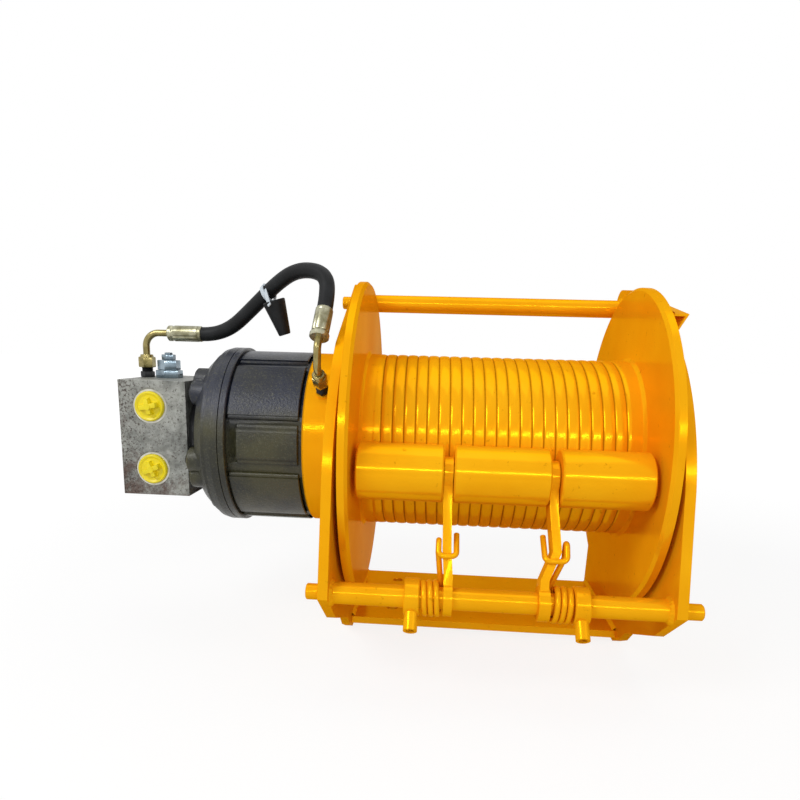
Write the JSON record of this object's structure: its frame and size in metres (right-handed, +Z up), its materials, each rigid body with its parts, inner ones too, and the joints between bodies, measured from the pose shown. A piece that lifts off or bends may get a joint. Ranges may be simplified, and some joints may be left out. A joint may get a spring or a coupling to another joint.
{
  "type": "hydraulic winch",
  "caption": "Hydraulic winch: grooved rope drum between side plates, sprung press rollers in front, and a brake, planetary reducer and motor block at the left end.",
  "frame": {"origin": "middle of the four bolt holes of the base plate, on its underside", "axes": "+X along the drum axis away from the motor, -Y towards the press rollers, +Z up"},
  "size_m": [0.6195, 0.3831, 0.4343],
  "materials": {
    "yellow_paint": "gloss",
    "dark_casting": "satin",
    "black_steel": "satin",
    "bare_casting": "rough",
    "yellow_plastic": "satin",
    "zinc": "satin",
    "yellow_zinc": "satin",
    "black_rubber": "matte",
    "white_plastic": "satin"
  },
  "bodies": {
    "frame": {"base_plate": "yellow_paint", "bearing_cover": "yellow_paint", "block_adapter": "black_steel", "block_nut": "yellow_zinc", "block_tube": "yellow_zinc", "brake_hose": "black_rubber", "brake_housing": "yellow_paint", "cable_tie": "white_plastic", "clamp_left": "yellow_paint", "clamp_right": "yellow_paint", "ferrule_block": "yellow_zinc", "ferrule_housing": "yellow_zinc", "housing_adapter": "black_steel", "housing_nut": "yellow_zinc", "housing_tube": "yellow_zinc", "motor_block": "bare_casting", "motor_flange": "black_steel", "port_plug_lower": "yellow_plastic", "port_plug_upper": "yellow_plastic", "press_rod": "yellow_paint", "reducer_body": "dark_casting", "reducer_cover": "dark_casting", "reducer_ring": "dark_casting", "relief_valve": "zinc", "rubber_stopper": "black_rubber", "side_guard": "yellow_paint", "side_plate_left": "yellow_paint", "side_plate_right": "yellow_paint", "tie_bar": "yellow_paint"},
    "drum": {"drum_core": "yellow_paint", "drum_flange_left": "yellow_paint", "drum_flange_right": "yellow_paint", "drum_shaft": "yellow_paint"},
    "press_frame": {"arm_left": "yellow_paint", "arm_right": "yellow_paint", "roller_axle": "yellow_paint", "spring_left": "yellow_paint", "spring_right": "yellow_paint"},
    "roller_left": {"roller_left": "yellow_paint"},
    "roller_middle": {"roller_middle": "yellow_paint"},
    "roller_right": {"roller_right": "yellow_paint"}
  },
  "joints": [
    {"name": "drum_spin", "type": "hinge", "parent": "frame", "child": "drum", "pos_m": [0, -0.065, 0.231], "axis": [1, 0, 0], "continuous": true},
    {"name": "press_swing", "type": "hinge", "parent": "frame", "child": "press_frame", "pos_m": [0, -0.2385, 0.102], "axis": [1, 0, 0], "range_deg": [0, 35], "stiffness_Nm_per_rad": 12, "springref_deg": -34.38},
    {"name": "roller_left_spin", "type": "hinge", "parent": "press_frame", "child": "roller_left", "pos_m": [-0.1, -0.19847, 0.21801], "axis": [1, 0, 0], "continuous": true},
    {"name": "roller_middle_spin", "type": "hinge", "parent": "press_frame", "child": "roller_middle", "pos_m": [0, -0.19847, 0.21801], "axis": [1, 0, 0], "continuous": true},
    {"name": "roller_right_spin", "type": "hinge", "parent": "press_frame", "child": "roller_right", "pos_m": [0.1, -0.19847, 0.21801], "axis": [1, 0, 0], "continuous": true}
  ]
}
